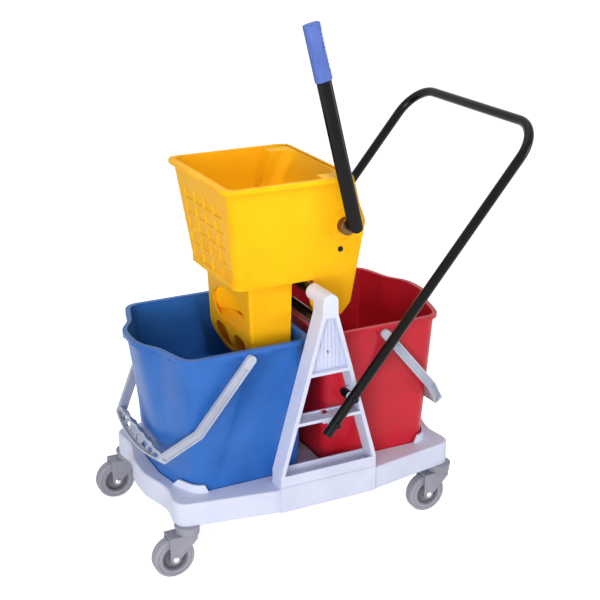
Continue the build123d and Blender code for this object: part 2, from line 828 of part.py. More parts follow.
# -------------------------------------------------------------------- wringer
# The moulded housing is a hopper with a floor, two cheeks that run down behind
# the upper cross tube, and a basket that hangs into the blue bucket.
front_bottom_x = -133.0
front_top_x = -157.6
rear_top_x = 76.5
rear_bulge_x = 109.6
rear_wall = 3.0
notch_x = 10.2
hopper_corner_r = 18.0
lip_out = 2.5
lip_height = 11.0
ring_r = 29.0
ring_width = 3.0
ring_rise = 1.2
loft_bottom_z = 400.0
loft_rear_x = 125.0
basket_rear_x = -28.0
basket_rear_lean = 5.0
basket_wall = 3.5
basket_ledge_z = 399.0
ledge_thick = 4.0
ledge_crest_x = -84.0
ledge_run = 28.0
ledge_drop = 21.0
louvre_pitch = 6.0
louvre_rise = 1.4
niche_x = -108.0
niche_depth = 33.0
niche_half_y = 75.0
niche_wall = 3.0
niche_end_y = -22.0
window_z = 417.0
window_half_y = 71.0
window_half_z = 36.0
cheek_slope = (hopper_top_y - hopper_floor_y) / (hopper_top_z - hopper_floor_z)
front_slope = (front_top_x - front_bottom_x) / (hopper_top_z - hopper_floor_z)


def cheek_face_y(height):
    """Half width over the outer faces of the cheeks at a height."""
    return hopper_floor_y + cheek_slope * (height - hopper_floor_z)


def front_face_x(height):
    """Outer face of the hopper's front wall at a height."""
    return front_bottom_x + front_slope * (height - hopper_floor_z)


front_lean = atan2(-front_slope, 1)
front_plane_of_hopper = Plane(
    origin=(front_bottom_x, 0, hopper_floor_z),
    x_dir=(0, -1, 0),
    z_dir=(-cos(front_lean), 0, -sin(front_lean)),
)


def hopper_plan(height, inset):
    """Draw the rounded plan of the tapering hopper at a height."""
    front = front_face_x(height) + inset
    with Locations(((front + loft_rear_x) / 2, 0)):
        RectangleRounded(
            loft_rear_x - front,
            2 * (cheek_face_y(height) - inset),
            hopper_corner_r - inset,
        )


with BuildPart() as hopper_cavity:
    with BuildSketch(Plane.XY.offset(loft_bottom_z - 20)):
        hopper_plan(loft_bottom_z - 20, hopper_wall)
    with BuildSketch(Plane.XY.offset(hopper_top_z + 20)):
        hopper_plan(hopper_top_z + 20, hopper_wall)
    loft()
    with BuildSketch(Plane.XZ):
        with BuildLine():
            Polyline(
                (front_bottom_x - 60, hopper_floor_z + hopper_wall),
                (front_bottom_x - 60, hopper_top_z + 20),
                (rear_top_x - rear_wall, hopper_top_z + 20),
                (rear_top_x - rear_wall, hopper_top_z),
                (rear_top_x + 14, 624),
                (rear_bulge_x - rear_wall - 0.5, shaft_z),
                (rear_bulge_x - 13, 503),
                (rear_bulge_x + 10, 499),
                (rear_bulge_x + 10, loft_bottom_z - 20),
                (notch_x - 1, loft_bottom_z - 20),
                (notch_x - 1, hopper_floor_z),
                (notch_x + 4, hopper_floor_z),
                (notch_x + 4, hopper_floor_z + hopper_wall),
                close=True,
            )
        make_face()
    extrude(amount=2 * hopper_top_y, both=True, mode=Mode.INTERSECT)

with BuildPart() as basket_cavity:
    with BuildSketch(Plane.XZ):
        with BuildLine():
            basket_front = Line(
                (front_face_x(hopper_floor_z) + 25 + basket_wall, hopper_floor_z + hopper_wall),
                (-103 + basket_wall, 373),
            )
            Spline(
                basket_front @ 1,
                (-90 + basket_wall * 0.8, 332 + basket_wall * 0.3),
                (-67 + basket_wall * 0.5, 296 + basket_wall),
                (-42, basket_bottom_z + basket_wall),
                tangents=(basket_front % 1, (1, 0)),
            )
            Polyline(
                (-42, basket_bottom_z + basket_wall),
                (basket_rear_x - basket_rear_lean, basket_bottom_z + basket_wall),
                (basket_rear_x, hopper_floor_z + hopper_wall),
                basket_front @ 0,
            )
        make_face()
    extrude(amount=basket_half_y - basket_wall, both=True)
    # The ledge under the mop stays as a floor, which falls to a louvred sill in front.
    with BuildSketch(Plane.XZ):
        with BuildLine():
            Polyline(
                (ledge_crest_x - ledge_run, basket_ledge_z - ledge_drop),
                (ledge_crest_x, basket_ledge_z),
                (0, basket_ledge_z),
                (0, basket_ledge_z - ledge_thick),
                (ledge_crest_x, basket_ledge_z - ledge_thick),
                (ledge_crest_x - ledge_run, basket_ledge_z - ledge_drop - ledge_thick),
                close=True,
            )
        make_face()
    extrude(amount=basket_half_y, both=True, mode=Mode.SUBTRACT)
    sill_plane = Plane(
        origin=(ledge_crest_x - ledge_run / 2, 0, basket_ledge_z - ledge_drop / 2),
        x_dir=(ledge_run, 0, ledge_drop),
        z_dir=(-ledge_drop, 0, ledge_run),
    )
    with BuildSketch(sill_plane):
        with GridLocations(louvre_pitch, 1, 4, 1):
            Rectangle(louvre_pitch / 3, 2 * basket_half_y)
    extrude(amount=louvre_rise, mode=Mode.SUBTRACT)
    # A curved wall stands behind the window and stops short of the near side.
    with BuildSketch(Plane.XY.offset(basket_ledge_z - ledge_drop)):
        with Locations((niche_x, 0)):
            Ellipse(niche_depth + niche_wall, niche_half_y + niche_wall)
            Ellipse(niche_depth, niche_half_y, mode=Mode.SUBTRACT)
        with Locations((niche_x + niche_depth, niche_end_y + basket_half_y)):
            Rectangle(2 * niche_depth, 2 * basket_half_y, mode=Mode.INTERSECT)
    extrude(
        amount=hopper_floor_z + hopper_wall - basket_ledge_z + ledge_drop,
        mode=Mode.SUBTRACT,
    )

with BuildPart() as wringer_housing:
    with BuildSketch(Plane.XY.offset(loft_bottom_z)):
        hopper_plan(loft_bottom_z, 0)
    with BuildSketch(Plane.XY.offset(hopper_top_z)):
        hopper_plan(hopper_top_z, 0)
    loft()
    with BuildSketch(Plane.XZ) as side_profile:
        with BuildLine():
            Polyline(
                (front_bottom_x - 60, hopper_floor_z),
                (front_bottom_x - 60, hopper_top_z + 1),
                (rear_top_x, hopper_top_z + 1),
                (rear_top_x + 17, 624),
                (rear_bulge_x, shaft_z),
                (rear_bulge_x - 9.6, 499),
                (93, 430),
                (76, 407),
                (22, 407),
                (notch_x, 448),
                (notch_x + 4, hopper_floor_z),
                close=True,
            )
        make_face()
        fillet(side_profile.vertices().sort_by(Axis.X)[-1], 30)
        fillet(side_profile.vertices().group_by(Axis.Y)[0], 13)
    extrude(amount=2 * hopper_top_y, both=True, mode=Mode.INTERSECT)
    # The basket under the floor.
    with BuildSketch(Plane.XZ):
        with BuildLine():
            front = Line((front_bottom_x + 25, hopper_floor_z + 1), (-103, 373))
            Spline(
                front @ 1, (-90, 332), (-67, 296), (-42, basket_bottom_z), tangents=(front % 1, (1, 0))
            )
            Polyline(
                (-42, basket_bottom_z),
                (basket_rear_x - basket_rear_lean + basket_wall, basket_bottom_z),
                (basket_rear_x + basket_wall, hopper_floor_z + 1),
                (front_bottom_x + 25, hopper_floor_z + 1),
            )
        make_face()
    extrude(amount=basket_half_y, both=True)
    fillet(
        wringer_housing.edges()
        .filter_by(lambda e: e.center().X < -60 and e.center().Z < 440)
        .filter_by(lambda e: abs(abs(e.center().Y) - basket_half_y) < 0.1),
        6,
    )
    # Round bosses on both cheeks carry the lever's shaft.
    with BuildSketch(Plane.XZ):
        with Locations((shaft_x, shaft_z)):
            Circle(ring_r)
    extrude(amount=boss_face_y, both=True)
    with BuildSketch(Plane.XZ):
        with Locations((shaft_x, shaft_z)):
            Circle(ring_r)
            Circle(ring_r - ring_width, mode=Mode.SUBTRACT)
    extrude(amount=boss_face_y + ring_rise, both=True)
    # A lip runs along the bottom of the front wall.
    with BuildSketch(Plane.XY.offset(hopper_floor_z)):
        with Locations((front_face_x(hopper_floor_z) - lip_out + 2 * hopper_corner_r, 0)):
            RectangleRounded(
                4 * hopper_corner_r, 2 * cheek_face_y(hopper_floor_z), hopper_corner_r
            )
    extrude(amount=lip_height)
    add(hopper_cavity.part, mode=Mode.SUBTRACT)
    add(basket_cavity.part, mode=Mode.SUBTRACT)
    for side in (-1, 1):
        with BuildSketch(Plane.XZ.offset(side * boss_inner_y)):
            with Locations((shaft_x, shaft_z)):
                Circle(21)
        extrude(amount=side * (boss_face_y - boss_inner_y))
    with BuildSketch(Plane.XZ):
        with Locations((shaft_x, shaft_z)):
            Circle(bush_r)
        with Locations((stop_screw_x, stop_screw_z)):
            Circle(stop_screw_r + play)
    extrude(amount=2 * hopper_top_y, both=True, mode=Mode.SUBTRACT)
    # A rolled rim runs round the hopper's mouth.
    with BuildSketch(Plane.XY.offset(hopper_top_z - rim_height)):
        with Locations(((front_top_x + rear_top_x - rim_flare) / 2, 0)):
            RectangleRounded(
                rear_top_x - front_top_x + rim_flare + 2 * hopper_rim_out - 3,
                2 * (hopper_top_y + hopper_rim_out),
                hopper_corner_r + hopper_rim_out,
            )
    extrude(amount=rim_height)
    fillet(wringer_housing.edges().group_by(Axis.Z)[-1], 1.5)
    add(hopper_cavity.part, mode=Mode.SUBTRACT)
    # Sunk tiles on the front wall.
    with BuildSketch(front_plane_of_hopper):
        with Locations((0, 80)):
            with GridLocations(tile_pitch_y, tile_pitch_z, 4, 5):
                Rectangle(tile_pitch_y - tile_rib, tile_pitch_z - tile_rib)
    extrude(amount=-tile_depth, taper=tile_draft, mode=Mode.SUBTRACT)
    # The round window in the basket's front, and two drain openings under it.
    with BuildSketch(Plane.YZ.offset(-125)):
        with Locations((0, window_z)):
            Ellipse(window_half_y, window_half_z)
    extrude(amount=125 - 2 - basket_half_y, mode=Mode.SUBTRACT)
    with BuildSketch(Plane.YZ.offset(-125)):
        with GridLocations(84, 1, 2, 1):
            with Locations((0, 348)):
                RectangleRounded(60, 56, 22)
    extrude(amount=70, mode=Mode.SUBTRACT)
    # Drain slots in the ledge and in the basket's bottom.
    with BuildSketch(Plane.XY.offset(basket_bottom_z - 1)):
        with Locations((-62, 0)):
            with GridLocations(13, 30, 3, 6):
                SlotOverall(22, 6, rotation=90)
    extrude(amount=basket_ledge_z - basket_bottom_z + 2, mode=Mode.SUBTRACT)
wringer_housing.part.label = "wringer_housing"
pieces.append(wringer_housing.part)

# ---------------------------------------------------------------- press plate
plate_thick = 4.0
plate_top_z = hopper_top_z - 2
plate_front_x = basket_rear_x - face_gap - plate_thick
plate_tail_x = plate_front_x - basket_rear_lean / 2
plate_top_x = 25.0
plate_foot_z = hopper_floor_z + hopper_wall + face_gap
plate_slope = (plate_top_x - plate_front_x) / (plate_top_z - plate_foot_z)
scoop_half_y = 94.0
scoop_corner_r = 24.0
plate_corner_r = 8.0
slot_y = 103.0
slot_z = 622.0


def plate_face_x(height):
    """Front face of the leaning press plate at a height."""
    return plate_front_x + plate_slope * (height - plate_foot_z)


with BuildPart() as scoop:
    with BuildSketch(Plane.XZ):
        with BuildLine():
            Spline((69.5, plate_top_z), (49.5, 639), (32.5, 600), (18.5, 559), (-23, plate_foot_z + 6))
            Polyline(
                (-23, plate_foot_z + 6),
                (-60, plate_foot_z + 6),
                (-60, plate_top_z + 10),
                (69.5, plate_top_z + 10),
                (69.5, plate_top_z),
            )
        make_face()
    extrude(amount=scoop_half_y, both=True)
    fillet(
        scoop.edges()
        .filter_by(GeomType.BSPLINE)
        .filter_by(lambda e: abs(abs(e.center().Y) - scoop_half_y) < 0.1),
        scoop_corner_r,
    )

with BuildPart() as press_plate:
    with BuildSketch(Plane.XZ):
        with BuildLine():
            Polyline(
                (plate_face_x(plate_top_z), plate_top_z),
                (rear_top_x - rear_wall - 1, plate_top_z),
                (rear_top_x - rear_wall - 1, plate_top_z - plate_thick),
                (
                    plate_face_x(plate_top_z - plate_thick) + plate_thick,
                    plate_top_z - plate_thick,
                ),
                (plate_face_x(plate_foot_z) + plate_thick, plate_foot_z),
                (plate_tail_x + plate_thick, basket_ledge_z + face_gap),
                (plate_tail_x, basket_ledge_z + face_gap),
                (plate_face_x(plate_foot_z), plate_foot_z),
                close=True,
            )
        make_face()
    extrude(amount=hopper_top_y, both=True)
    with BuildSketch(Plane.XZ):
        with BuildLine():
            Spline((72.5, plate_top_z), (53, 636), (36, 597), (22, 556), (-19, plate_foot_z))
            Polyline(
                (-19, plate_foot_z),
                (plate_face_x(plate_foot_z), plate_foot_z),
                (plate_face_x(plate_top_z), plate_top_z),
                (72.5, plate_top_z),
            )
        make_face()
    extrude(amount=scoop_half_y + plate_thick, both=True)
    add(scoop.part, mode=Mode.SUBTRACT)
    with BuildSketch(Plane.YZ) as plate_outline:
        with BuildLine():
            plate_edge = hopper_wall + 2 * face_gap
            Polyline(
                (face_gap * 2 + basket_wall - basket_half_y, basket_ledge_z),
                (basket_half_y - basket_wall - 2 * face_gap, basket_ledge_z),
                (basket_half_y - basket_wall - 2 * face_gap, plate_foot_z),
                (cheek_face_y(plate_foot_z) - plate_edge, plate_foot_z),
                (cheek_face_y(plate_top_z) - plate_edge, plate_top_z),
                (plate_edge - cheek_face_y(plate_top_z), plate_top_z),
                (plate_edge - cheek_face_y(plate_foot_z), plate_foot_z),
                (face_gap * 2 + basket_wall - basket_half_y, plate_foot_z),
                close=True,
            )
        make_face()
        fillet(plate_outline.vertices().group_by(Axis.Y)[-1], plate_corner_r)
    extrude(amount=2 * loft_rear_x, both=True, mode=Mode.INTERSECT)
    with BuildSketch(Plane.YZ):
        with GridLocations(2 * slot_y, 1, 2, 1):
            with Locations((0, slot_z)):
                SlotOverall(10, 3.5, rotation=90)
    extrude(amount=loft_rear_x, mode=Mode.SUBTRACT)
press_plate.part.label = "press_plate"
pieces.append(press_plate.part)

# ------------------------------------------------------------ gears and racks
# Two toothed sectors on the lever's shaft drive two racks on the press plate.
pitch_r = gear_module * gear_teeth / 2
gear_y = 100.0
gear_width = 8.0
pressure = radians(20)
backlash = 0.3
base_r = pitch_r * cos(pressure)
root_r = pitch_r - 1.25 * gear_module
tip_r = pitch_r + gear_module - 0.2
tooth_step = 360 / gear_teeth
rack_pitch_z = shaft_z - pitch_r
rack_bottom_z = rack_pitch_z - 12
rack_end_x = 100.5
rack_step = pi * gear_module


def flank_angle(radius):
    """Half the angle that a gear tooth spans at a radius, for an involute flank."""
    at_pitch = tan(pressure) - pressure
    alpha = acos(min(1.0, base_r / radius))
    half_pitch_angle = (pi * gear_module / 2 - backlash) / (2 * pitch_r)
    return half_pitch_angle + at_pitch - (tan(alpha) - alpha)


def gear_tooth(centre_angle):
    """Draw one tooth of the sector, pointing along an angle in degrees."""
    radii = [root_r - 1, base_r, pitch_r, (pitch_r + tip_r) / 2, tip_r]
    left = []
    right = []
    for radius in radii:
        half = flank_angle(max(radius, base_r))
        middle = radians(centre_angle)
        left.append((radius * cos(middle + half), radius * sin(middle + half)))
        right.append((radius * cos(middle - half), radius * sin(middle - half)))
    Polygon(*right, *reversed(left), align=None)


with BuildPart() as gear_sectors:
    for side in (-1, 1):
        inner_face = Plane(
            origin=(shaft_x, side * gear_y, shaft_z),
            x_dir=(1, 0, 0),
            z_dir=(0, -1, 0),
        )
        with BuildSketch(inner_face):
            with BuildLine():
                start = PolarLine((0, 0), root_r, -90 - tooth_step - 9)
                CenterArc((0, 0), root_r, -90 - tooth_step - 9, 7 * tooth_step)
                PolarLine((0, 0), root_r, -90 - tooth_step - 9 + 7 * tooth_step)
            make_face()
            for tooth in range(-1, 6):
                gear_tooth(-90 + tooth * tooth_step)
            Circle(shaft_r + 6)
            Circle(shaft_r, mode=Mode.SUBTRACT)
        extrude(amount=-side * gear_width)
gear_sectors.part.label = "gear_sectors"
pieces.append(gear_sectors.part)

rack_root_z = rack_pitch_z - 1.25 * gear_module
rack_tip_z = rack_pitch_z + gear_module - 0.2
with BuildPart() as press_racks:
    for side in (-1, 1):
        with BuildSketch(Plane.XZ.offset(-side * gear_y)):
            with BuildLine():
                Polyline(
                    (plate_face_x(rack_bottom_z) + plate_thick, rack_bottom_z),
                    (rack_end_x, rack_bottom_z),
                    (rack_end_x, rack_root_z),
                    (plate_face_x(rack_root_z) + plate_thick, rack_root_z),
                    close=True,
                )
            make_face()
            for tooth in range(-2, 4):
                half = rack_step / 4 - backlash / 2
                with Locations((shaft_x + rack_step * (tooth + 0.5), rack_pitch_z)):
                    Polygon(
                        (-half - 1.25 * gear_module * tan(pressure), -1.25 * gear_module),
                        (half + 1.25 * gear_module * tan(pressure), -1.25 * gear_module),
                        (half - (rack_tip_z - rack_pitch_z) * tan(pressure), rack_tip_z - rack_pitch_z),
                        ((rack_tip_z - rack_pitch_z) * tan(pressure) - half, rack_tip_z - rack_pitch_z),
                        align=None,
                    )
        extrude(amount=-side * gear_width)
press_racks.part.label = "press_racks"
pieces.append(press_racks.part)

# ---------------------------------------------------------------- press lever
lever_inner_y = 142.0
lever_depth = 16.0
lever_width = 27.0
lever_wall = 2.0
lever_foot_x = 75.4
lever_foot_z = 579.4
lever_top_x = -14.5
lever_top_z = 941.0
lever_grip_length = 97.0
lever_grip_wall = 2.0
hub_disc_r = 15.0
shaft_tail = 3.5

with BuildPart() as lever_shaft:
    with BuildSketch(Plane.XZ.offset(lever_inner_y)):
        with Locations((shaft_x, shaft_z)):
            Circle(hub_disc_r)
    extrude(amount=boss_face_y + ring_rise + face_gap - lever_inner_y)
    fillet(lever_shaft.edges(), 1.5)
    with BuildSketch(Plane.XZ.offset(lever_inner_y - 4)):
        with Locations((shaft_x, shaft_z)):
            Circle(shaft_r)
    extrude(amount=-lever_inner_y + 4 - boss_face_y - face_gap - shaft_tail)
    with BuildSketch(Plane.XZ.offset(-boss_face_y - face_gap)):
        with Locations((shaft_x, shaft_z)):
            Circle(shaft_r + 4)
    extrude(amount=-shaft_tail)
    fillet(lever_shaft.edges().group_by(Axis.Y)[-1], 1.5)
lever_shaft.part.label = "lever_shaft"
pieces.append(lever_shaft.part)

with BuildPart() as shaft_bushes:
    with BuildSketch(Plane.XZ.offset(boss_inner_y)):
        with Locations((shaft_x, shaft_z)):
            Circle(bush_r)
            Circle(shaft_r + play, mode=Mode.SUBTRACT)
    extrude(amount=boss_face_y - boss_inner_y)
    with BuildSketch(Plane.XZ.offset(boss_inner_y)):
        with Locations((shaft_x, shaft_z)):
            Circle(bush_r + 4)
            Circle(shaft_r + play, mode=Mode.SUBTRACT)
    extrude(amount=-2)
    mirror(about=Plane.XZ)
shaft_bushes.part.label = "shaft_bushes"
pieces.append(shaft_bushes.part)

lever_length = sqrt((lever_top_x - lever_foot_x) ** 2 + (lever_top_z - lever_foot_z) ** 2)
lever_lean = atan2(lever_foot_x - lever_top_x, lever_top_z - lever_foot_z)
lever_plane = Plane(
    origin=(lever_foot_x, -lever_inner_y - lever_depth / 2, lever_foot_z),
    x_dir=(cos(lever_lean), 0, sin(lever_lean)),
    z_dir=(-sin(lever_lean), 0, cos(lever_lean)),
)
foot_round_x = lever_foot_x - lever_width / 2 * sin(lever_lean)
foot_round_z = lever_foot_z + lever_width / 2 * cos(lever_lean)
with BuildPart() as lever_tube:
    with BuildSketch(lever_plane):
        SlotOverall(lever_width, lever_depth)
    extrude(amount=lever_length - lever_grip_wall - play)
    with BuildSketch(Plane.XZ):
        with BuildLine():
            Polyline(
                (foot_round_x, foot_round_z),
                (foot_round_x - 2 * lever_length * sin(lever_lean), foot_round_z + 2 * lever_length * cos(lever_lean)),
            )
        trace(line_width=lever_width)
        with Locations((foot_round_x, foot_round_z)):
            Circle(lever_width / 2)
    extrude(amount=2 * lever_inner_y, both=True, mode=Mode.INTERSECT)
    with BuildSketch(lever_plane.offset(30)):
        SlotOverall(lever_width - 2 * lever_wall, lever_depth - 2 * lever_wall)
    extrude(amount=lever_length, mode=Mode.SUBTRACT)
lever_tube.part.label = "lever_tube"
pieces.append(lever_tube.part)

with BuildPart() as lever_grip:
    with BuildSketch(lever_plane.offset(lever_length - lever_grip_length)):
        SlotOverall(lever_width + 2 * lever_grip_wall, lever_depth + 2 * lever_grip_wall)
    extrude(amount=lever_grip_length)
    fillet(lever_grip.edges().sort_by(Axis.Z)[-4:], 1.5)
    with BuildSketch(lever_plane.offset(lever_length - lever_grip_length)):
        SlotOverall(lever_width, lever_depth)
    extrude(amount=lever_grip_length - lever_grip_wall, mode=Mode.SUBTRACT)
lever_grip.part.label = "lever_grip"
pieces.append(lever_grip.part)

# Two screws in the cheeks end just short of the racks.
with BuildPart() as cheek_screws:
    with BuildSketch(Plane.XZ.offset(cheek_face_y(stop_screw_z) - hopper_wall)):
        with Locations((stop_screw_x, stop_screw_z)):
            Circle(stop_screw_r)
    extrude(amount=hopper_wall + 1)
    with BuildSketch(Plane.XZ.offset(cheek_face_y(stop_screw_z) + 0.8)):
        with Locations((stop_screw_x, stop_screw_z)):
            Circle(2 * stop_screw_r)
    extrude(amount=2.5)
    fillet(cheek_screws.edges().group_by(Axis.Y)[0], 1.5)
    mirror(about=Plane.XZ)
cheek_screws.part.label = "cheek_screws"
pieces.append(cheek_screws.part)

for piece in pieces:
    export_step(piece.moved(Location((-middle_x, 0, 0))), "parts/" + piece.label + ".step")
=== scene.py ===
from math import cos, pi, radians, sin

import bmesh
import bpy
from mathutils import Matrix, Vector


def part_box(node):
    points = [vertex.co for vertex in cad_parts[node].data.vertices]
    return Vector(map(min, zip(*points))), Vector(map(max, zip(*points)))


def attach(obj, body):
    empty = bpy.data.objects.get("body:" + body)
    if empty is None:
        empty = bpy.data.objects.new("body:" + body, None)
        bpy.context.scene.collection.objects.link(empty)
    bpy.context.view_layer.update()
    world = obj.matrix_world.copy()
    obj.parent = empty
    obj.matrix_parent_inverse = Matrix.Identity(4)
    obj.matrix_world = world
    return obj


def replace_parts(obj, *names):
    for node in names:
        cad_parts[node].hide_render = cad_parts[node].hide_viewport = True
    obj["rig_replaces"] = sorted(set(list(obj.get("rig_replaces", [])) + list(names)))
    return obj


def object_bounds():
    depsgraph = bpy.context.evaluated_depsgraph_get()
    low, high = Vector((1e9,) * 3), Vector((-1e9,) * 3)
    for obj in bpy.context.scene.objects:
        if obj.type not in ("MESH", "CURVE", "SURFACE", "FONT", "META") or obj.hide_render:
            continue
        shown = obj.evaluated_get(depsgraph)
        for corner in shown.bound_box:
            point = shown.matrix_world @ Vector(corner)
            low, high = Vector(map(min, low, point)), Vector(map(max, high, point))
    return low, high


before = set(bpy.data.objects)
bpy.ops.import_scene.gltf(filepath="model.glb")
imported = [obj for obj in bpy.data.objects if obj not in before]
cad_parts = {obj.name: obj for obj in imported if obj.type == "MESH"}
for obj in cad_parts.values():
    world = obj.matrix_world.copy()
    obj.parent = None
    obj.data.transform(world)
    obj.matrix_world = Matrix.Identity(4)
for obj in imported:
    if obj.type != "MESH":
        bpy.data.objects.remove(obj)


# ------------------------------------------------------------------ camera
# It looks down on the trolley from the blue bucket's end of the lever side.
cad_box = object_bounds()
low, high = (Vector(corner) for corner in cad_box)
middle = (low + high) / 2
VIEW_AZIMUTH = radians(26.47)
VIEW_ELEVATION = radians(20.49)
VIEW_DISTANCE = 2.3077
LENS = 74.72
SENSOR = 36.0
AIM_SHIFT = Vector((-0.0151, -0.0162, 0.0))
AIM_HEIGHT = 0.416

aim = Vector((middle.x, middle.y, low.z + AIM_HEIGHT)) + AIM_SHIFT
towards_camera = Vector((
    -sin(VIEW_AZIMUTH) * cos(VIEW_ELEVATION),
    -cos(VIEW_AZIMUTH) * cos(VIEW_ELEVATION),
    sin(VIEW_ELEVATION),
))
camera_data = bpy.data.cameras.new("view_camera")
camera_data.lens = LENS
camera_data.sensor_width = SENSOR
camera = bpy.data.objects.new("view_camera", camera_data)
camera.location = aim + towards_camera * VIEW_DISTANCE
camera.rotation_euler = towards_camera.to_track_quat("Z", "Y").to_euler()
bpy.context.collection.objects.link(camera)
bpy.context.scene.camera = camera
bpy.context.scene.view_settings.view_transform = "Standard"


# ----------------------------------------------------------------- base tray
# One injection moulding in pale blue-grey polypropylene, with two wells for the
# buckets and a guide at each corner. Its satin skin gives broad soft highlights,
# and the thick deck shows slow sink waves.
def colour(hex_value):
    """Turn an sRGB hex value into a linear colour with alpha."""
    channels = [int(hex_value[i:i + 2], 16) / 255 for i in (1, 3, 5)]
    linear = [c / 12.92 if c <= 0.04045 else ((c + 0.055) / 1.055) ** 2.4 for c in channels]
    return (*linear, 1.0)


def add_node(tree_owner, kind, settings=None, inputs=None):
    """Add one node with its settings, and its inputs as values or as links."""
    node = tree_owner.node_tree.nodes.new(kind)
    for name, value in (settings or {}).items():
        setattr(node, name, value)
    for name, value in (inputs or {}).items():
        if isinstance(value, bpy.types.NodeSocket):
            tree_owner.node_tree.links.new(value, node.inputs[name])
        else:
            node.inputs[name].default_value = value
    return node


def new_material(name):
    """A material with an empty node tree."""
    material = bpy.data.materials.new(name)
    material.use_nodes = True
    material.node_tree.nodes.clear()
    return material


MM = 0.001
CLOUD_MM = 70
RUB_MM = 33
SINK_MM = 110


def moulded(name, light, dark, roughness, level=0.3, grain_mm=0.6, grain=0.05, edge_mm=1.2, ior=1.49):
    """Moulded plastic: colour clouds, rubbed patches, mould grain and soft edges."""
    material = new_material(name)
    place = add_node(material, "ShaderNodeTexCoord").outputs["Object"]
    clouds = add_node(material, "ShaderNodeTexNoise", None, {
        "Vector": place,
        "Scale": 1 / (CLOUD_MM * MM),
        "Detail": 3.0,
    })
    tint = add_node(material, "ShaderNodeValToRGB", None, {"Fac": clouds.outputs["Fac"]})
    tint.color_ramp.elements[0].position = 0.32
    tint.color_ramp.elements[0].color = colour(dark)
    tint.color_ramp.elements[1].position = 0.62
    tint.color_ramp.elements[1].color = colour(light)
    rub = add_node(material, "ShaderNodeTexNoise", None, {
        "Vector": place,
        "Scale": 1 / (RUB_MM * MM),
        "Detail": 3.0,
    })
    shine = add_node(material, "ShaderNodeMapRange", None, {
        "Value": rub.outputs["Fac"],
        "From Min": 0.3,
        "From Max": 0.7,
        "To Min": roughness - 0.03,
        "To Max": roughness + 0.04,
    })
    sink = add_node(material, "ShaderNodeTexNoise", None, {
        "Vector": place,
        "Scale": 1 / (SINK_MM * MM),
        "Detail": 0.0,
    })
    edges = add_node(material, "ShaderNodeBevel", {"samples": 4}, {"Radius": edge_mm * MM})
    waves = add_node(material, "ShaderNodeBump", None, {
        "Height": sink.outputs["Fac"],
        "Normal": edges.outputs["Normal"],
        "Strength": 0.06,
        "Distance": 2 * MM,
    })
    fine = add_node(material, "ShaderNodeTexNoise", None, {
        "Vector": place,
        "Scale": 1 / (grain_mm * MM),
        "Detail": 2.0,
    })
    skin = add_node(material, "ShaderNodeBump", None, {
        "Height": fine.outputs["Fac"],
        "Normal": waves.outputs["Normal"],
        "Strength": grain,
        "Distance": 0.3 * MM,
    })
    surface = add_node(material, "ShaderNodeBsdfPrincipled", None, {
        "Base Color": tint.outputs["Color"],
        "Roughness": shine.outputs["Result"],
        "Normal": skin.outputs["Normal"],
        "IOR": ior,
        "Specular IOR Level": level,
    })
    add_node(material, "ShaderNodeOutputMaterial", None, {"Surface": surface.outputs["BSDF"]})
    return material


def coat(finish, *nodes):
    """Put a finish on the material slots of CAD nodes."""
    for node in nodes:
        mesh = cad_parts[node].data
        mesh.materials.clear()
        mesh.materials.append(finish)


grey_pp = moulded("satin_pale_grey_polypropylene", "#D8DDF1", "#CFD4E9", 0.42, 0.25)
coat(grey_pp, "base_tray")


# ------------------------------------------------------------------ A-frames
# Two upright side frames, moulded in the tray's own grey polypropylene and
# screwed down on its pads from below with zinc-plated screws. A plated screw
# shows a fine grey spangle and a broken metal shine.
coat(grey_pp, "a_frame_front", "a_frame_rear")


def plated(name, light, dark, roughness):
    """Plated steel with a fine spangle and rubbed patches."""
    material = new_material(name)
    place = add_node(material, "ShaderNodeTexCoord").outputs["Object"]
    spangle = add_node(material, "ShaderNodeTexVoronoi", None, {
        "Vector": place,
        "Scale": 1 / (1.4 * MM),
    })
    tint = add_node(material, "ShaderNodeValToRGB", None, {"Fac": spangle.outputs["Distance"]})
    tint.color_ramp.elements[0].color = colour(dark)
    tint.color_ramp.elements[1].color = colour(light)
    rub = add_node(material, "ShaderNodeTexNoise", None, {
        "Vector": place,
        "Scale": 1 / (6 * MM),
        "Detail": 4.0,
    })
    shine = add_node(material, "ShaderNodeMapRange", None, {
        "Value": rub.outputs["Fac"],
        "To Min": roughness - 0.1,
        "To Max": roughness + 0.15,
    })
    surface = add_node(material, "ShaderNodeBsdfPrincipled", None, {
        "Base Color": tint.outputs["Color"],
        "Metallic": 1.0,
        "Roughness": shine.outputs["Result"],
    })
    add_node(material, "ShaderNodeOutputMaterial", None, {"Surface": surface.outputs["BSDF"]})
    return material


zinc = plated("zinc_plated_steel", "#C4C2BE", "#98958F", 0.34)
coat(zinc, "frame_screws")


# --------------------------------------------- cross tubes and push handle
# Steel tube with a gloss black powder coat. The handle is one tube bent twice and
# bolted to both A-frames. The coat flows into a faint orange peel, which breaks
# the thin highlight that runs along each tube.
black_coat = moulded("gloss_black_powder_coat", "#0A080A", "#060506", 0.17, 0.2, 1.4, 0.03, 0.3)
coat(black_coat, "cross_tube_upper", "cross_tube_lower", "push_handle")
black_plastic = moulded("glossy_black_plastic", "#0E0E10", "#09090B", 0.28, 0.2)
coat(black_plastic, "handle_end_plugs", "handle_bolts", "handle_cap_nuts")


# ------------------------------------------------------------ bolt lug caps
# A black moulded cap is pushed over the upper bolt's lug on the inside of each
# A-frame leg, and the cap nut closes its rounded end.
def begin_piece():
    """Leave nothing selected, so that the next primitive is worked on alone."""
    bpy.ops.object.select_all(action="DESELECT")


